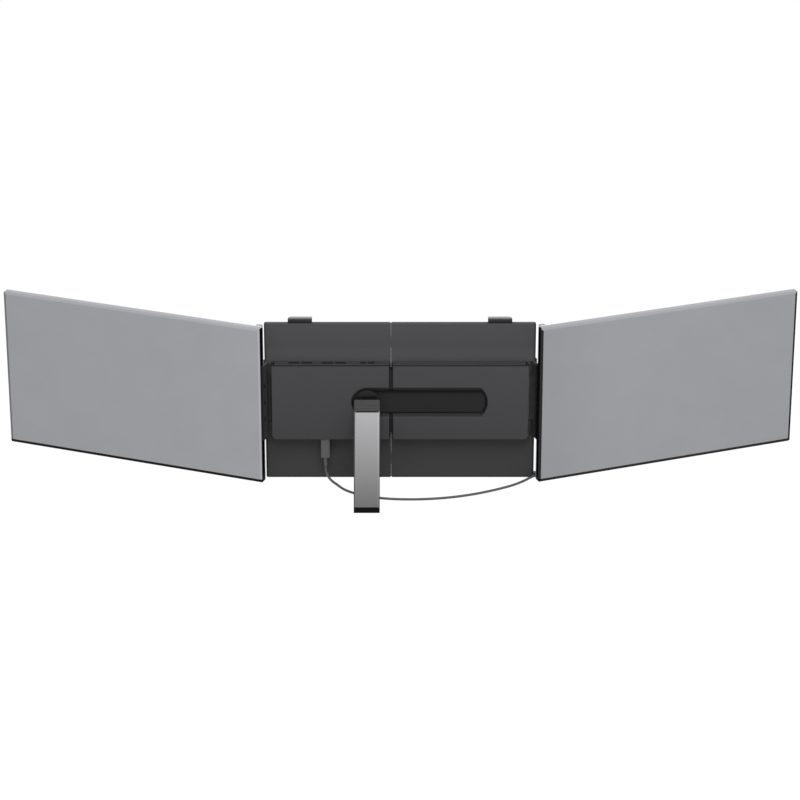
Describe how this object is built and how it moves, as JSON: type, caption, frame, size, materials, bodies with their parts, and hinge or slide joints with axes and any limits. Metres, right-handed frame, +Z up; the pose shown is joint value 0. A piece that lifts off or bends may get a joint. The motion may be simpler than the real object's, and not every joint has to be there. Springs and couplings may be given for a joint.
{
  "type": "laptop screen extender",
  "caption": "Portable extender that hangs on a laptop's lid: a telescoping bracket with hooks and a swivelling leg, and a hinged screen at each side.",
  "frame": {"origin": "on the desk, under the middle of the bracket and in the middle of its thickness", "axes": "+X to the right seen from behind, +Y towards the user, +Z up"},
  "size_m": [0.9146, 0.2064, 0.1934],
  "materials": {
    "silver_shell": "fine blasted, anodised silver",
    "dark_panel": "fine matt texture, dark grey",
    "dark_hub": "fine matt texture, dark grey",
    "dark_sleeve": "smooth matt, near black",
    "dark_disc": "matt dark grey paint",
    "dark_arm": "matt black paint",
    "hook_plate": "satin dark grey paint",
    "key_cap": "matt black",
    "bezel_black": "matt black",
    "screen_glass": "anti-glare, dark when off",
    "steel": "brushed",
    "screw_black": "blackened",
    "guide_plastic": "low-friction moulding",
    "felt": "pressed felt",
    "soft_pad": "soft matt",
    "foot_rubber": "matt black rubber",
    "board_green": "solder-masked board",
    "lead_grey": "matt dark grey jacket",
    "lead_entry_grey": "matt dark grey moulding"
  },
  "bodies": {
    "root": {"left_back_panel": "dark_panel", "left_front_panel": "dark_panel", "left_lid_pad": "soft_pad", "left_hub_cover": "dark_hub", "inner_sleeve": "dark_sleeve", "left_rail_guides": "guide_plastic", "main_board": "board_green", "key_board": "board_green", "usb_sockets": "steel", "left_hinge_housing": "dark_hub", "left_hinge_pin": "steel", "left_hook_guide": "guide_plastic", "left_hook_brake": "felt", "lead_plug": "lead_grey", "lead_neck": "lead_grey", "lead_cable": "lead_grey"},
    "right_half": {"right_back_panel": "dark_panel", "right_front_panel": "dark_panel", "right_lid_pad": "soft_pad", "right_hub_cover": "dark_hub", "slide_rails": "steel", "right_rail_clamps": "guide_plastic", "right_hinge_housing": "dark_hub", "right_hinge_pin": "steel", "right_hook_guide": "guide_plastic", "right_hook_brake": "felt", "lead_entry": "lead_entry_grey"},
    "leg_turntable": {"leg_disc": "dark_disc", "leg_washer": "guide_plastic", "leg_retainer": "steel", "leg_hinge_block": "dark_disc"},
    "leg": {"leg_channel": "silver_shell", "leg_pin": "steel", "leg_foot": "foot_rubber"},
    "left_screen": {"left_hinge_arm": "dark_arm", "left_arm_screws": "screw_black", "left_screen_shell": "silver_shell", "left_screen_bezel": "bezel_black", "left_screen_lcd": "screen_glass", "left_screen_board": "board_green", "left_screen_spine": "silver_shell"},
    "left_hook_slider": {"left_hook": "hook_plate", "left_hook_liner": "soft_pad"},
    "right_screen": {"right_hinge_arm": "dark_arm", "right_arm_screws": "screw_black", "right_screen_shell": "silver_shell", "right_screen_bezel": "bezel_black", "right_screen_lcd": "screen_glass", "right_screen_board": "board_green", "right_screen_spine": "silver_shell"},
    "right_hook_slider": {"right_hook": "hook_plate", "right_hook_liner": "soft_pad"},
    "key_1": {"key_1": "key_cap"},
    "key_2": {"key_2": "key_cap"},
    "key_3": {"key_3": "key_cap"},
    "key_4": {"key_4": "key_cap"},
    "key_5": {"key_5": "key_cap"},
    "key_6": {"key_6": "key_cap"}
  },
  "joints": [
    {"name": "bracket_slide", "type": "slide", "parent": "root", "child": "right_half", "axis": [1, 0, 0], "range_m": [0, 0.042], "deforming": ["lead_cable"]},
    {"name": "left_screen_hinge", "type": "hinge", "parent": "root", "child": "left_screen", "pos_m": [-0.1502, -0.0005, 0.0983], "axis": [0, 0, -1], "range_deg": [-21.2, 158.8]},
    {"name": "right_screen_hinge", "type": "hinge", "parent": "right_half", "child": "right_screen", "pos_m": [0.1502, 0.0048, 0.0983], "axis": [0, 0, 1], "range_deg": [-21.2, 158.8]},
    {"name": "leg_swivel", "type": "hinge", "parent": "root", "child": "leg_turntable", "pos_m": [-0.0372, -0.0121, 0.0983], "axis": [0, -1, 0], "range_deg": [0, 90]},
    {"name": "leg_tilt", "type": "hinge", "parent": "leg_turntable", "child": "leg", "pos_m": [-0.0372, -0.0183, 0.0881], "axis": [1, 0, 0], "range_deg": [-19, 41]},
    {"name": "left_hook_slide", "type": "slide", "parent": "root", "child": "left_hook_slider", "axis": [0, 0, 1], "range_m": [0, 0.03]},
    {"name": "right_hook_slide", "type": "slide", "parent": "right_half", "child": "right_hook_slider", "axis": [0, 0, 1], "range_m": [0, 0.03]},
    {"name": "key_1_press", "type": "slide", "parent": "root", "child": "key_1", "axis": [0, 0, -1], "range_m": [0, 0.0005], "stiffness_N_per_m": 800},
    {"name": "key_2_press", "type": "slide", "parent": "root", "child": "key_2", "axis": [0, 0, -1], "range_m": [0, 0.0005], "stiffness_N_per_m": 800},
    {"name": "key_3_press", "type": "slide", "parent": "root", "child": "key_3", "axis": [0, 0, -1], "range_m": [0, 0.0005], "stiffness_N_per_m": 800},
    {"name": "key_4_press", "type": "slide", "parent": "root", "child": "key_4", "axis": [0, 0, -1], "range_m": [0, 0.0005], "stiffness_N_per_m": 800},
    {"name": "key_5_press", "type": "slide", "parent": "root", "child": "key_5", "axis": [0, 0, -1], "range_m": [0, 0.0005], "stiffness_N_per_m": 800},
    {"name": "key_6_press", "type": "slide", "parent": "root", "child": "key_6", "axis": [0, 0, -1], "range_m": [0, 0.0005], "stiffness_N_per_m": 800}
  ]
}
